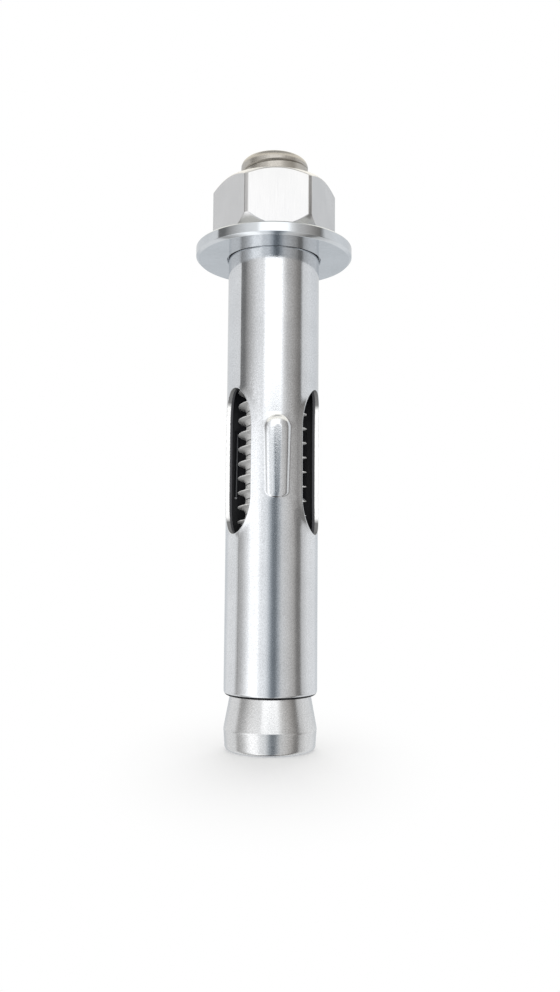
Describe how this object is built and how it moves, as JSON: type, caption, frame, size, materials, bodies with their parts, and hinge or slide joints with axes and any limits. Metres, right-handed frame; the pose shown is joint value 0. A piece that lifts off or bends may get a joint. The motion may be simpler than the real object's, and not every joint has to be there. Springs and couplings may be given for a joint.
{
  "type": "sleeve expansion anchor",
  "caption": "Sleeve expansion anchor: a threaded stud with a cone at its foot, a slotted metal sleeve round it, a washer and a hex nut.",
  "frame": {"origin": "centre of the cone's flat end, on which the anchor stands", "axes": "+Z along the stud's axis towards the nut, -Y towards the pressed rib between two of the three windows"},
  "size_m": [0.0272, 0.0272, 0.102],
  "materials": {
    "stud_steel": "bright zinc-plated turned steel",
    "sleeve_steel": "bright zinc-plated rolled sheet steel",
    "washer_steel": "bright zinc-plated steel, polished faces",
    "nut_steel": "bright zinc-plated steel, finely brushed flats"
  },
  "bodies": {
    "stud_body": {"cone_stud": "stud_steel"},
    "sleeve_body": {"sleeve": "sleeve_steel"},
    "washer_body": {"washer": "washer_steel"},
    "nut_body": {"hex_nut": "nut_steel"}
  },
  "joints": [
    {"name": "sleeve_slide", "type": "slide", "parent": "stud_body", "child": "sleeve_body", "axis": [0, 0, 1], "range_m": [0, 0.0125]},
    {"name": "washer_spin", "type": "hinge", "parent": "sleeve_body", "child": "washer_body", "pos_m": [0, 0, 0.0849], "axis": [0, 0, 1], "continuous": true},
    {"name": "nut_turn", "type": "hinge", "parent": "sleeve_body", "child": "nut_body", "pos_m": [0, 0, 0.0915], "axis": [0, 0, 1], "range_deg": [0, 1800]}
  ],
  "couplings": [
    {"joint": "nut_turn", "follows": "sleeve_slide", "rad_per_m": 2513.3}
  ]
}
